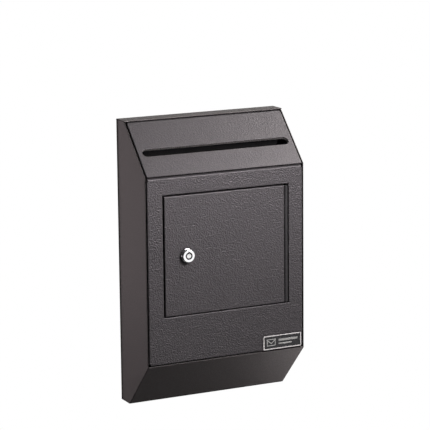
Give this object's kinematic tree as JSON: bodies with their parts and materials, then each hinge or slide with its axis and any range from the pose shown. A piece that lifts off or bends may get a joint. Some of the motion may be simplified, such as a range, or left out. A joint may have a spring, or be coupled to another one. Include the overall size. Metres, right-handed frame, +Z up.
{
  "type": "parcel drop box",
  "caption": "Wall-mounted sheet-steel drop box with a sloping hood and long mail slot, and a hinged collection door with a tubular cam lock.",
  "frame": {"origin": "on the back face, at the centre of the four wall bolt holes, halfway up the side panels", "axes": "+X to the right of a person facing the box, +Y back into the wall, +Z up"},
  "size_m": [0.25, 0.102, 0.4112],
  "materials": {
    "powder_coat": "black textured powder coat on folded sheet steel",
    "side_coat": "black powder coat with a finer grain, on the sides, back and lower slope",
    "inner_coat": "thin black powder coat inside the box",
    "hinge_steel": "black paint on hinge steel, worn bright on the knuckle edges",
    "bare_steel": "drawn steel wire, lightly oiled",
    "lock_chrome": "polished chrome plate",
    "spindle_chrome": "nickel plate, lightly scratched",
    "pin_brass": "turned brass",
    "zinc_plate": "bright zinc plate on stamped steel",
    "nameplate_face": "black enamelled plate with a pale raised border"
  },
  "bodies": {
    "box": {"back_panel": "side_coat", "left_side_panel": "side_coat", "right_side_panel": "side_coat", "hood_panel": "powder_coat", "slot_baffle": "inner_coat", "front_panel": "powder_coat", "bottom_panel": "side_coat", "nameplate": "nameplate_face", "hinge_frame_leaf": "hinge_steel", "hinge_pin": "bare_steel"},
    "door": {"door_panel": "powder_coat", "hinge_door_leaf": "hinge_steel", "lock_housing": "lock_chrome", "driver_sleeve": "pin_brass", "sleeve_dowel": "bare_steel", "driver_pins": "pin_brass", "driver_springs": "bare_steel", "lock_washer": "zinc_plate", "lock_nut": "zinc_plate"},
    "lock_core": {"lock_spindle": "spindle_chrome", "key_pins": "pin_brass", "lock_cam": "zinc_plate", "cam_washer": "zinc_plate", "cam_screw": "zinc_plate"}
  },
  "joints": [
    {"name": "door_hinge", "type": "hinge", "parent": "box", "child": "door", "pos_m": [0.0966, -0.0922, 0.02], "axis": [0, 0, 1], "range_deg": [0, 105]},
    {"name": "lock_turn", "type": "hinge", "parent": "door", "child": "lock_core", "pos_m": [-0.062, -0.085, 0.02], "axis": [0, 1, 0], "range_deg": [0, 90]}
  ]
}
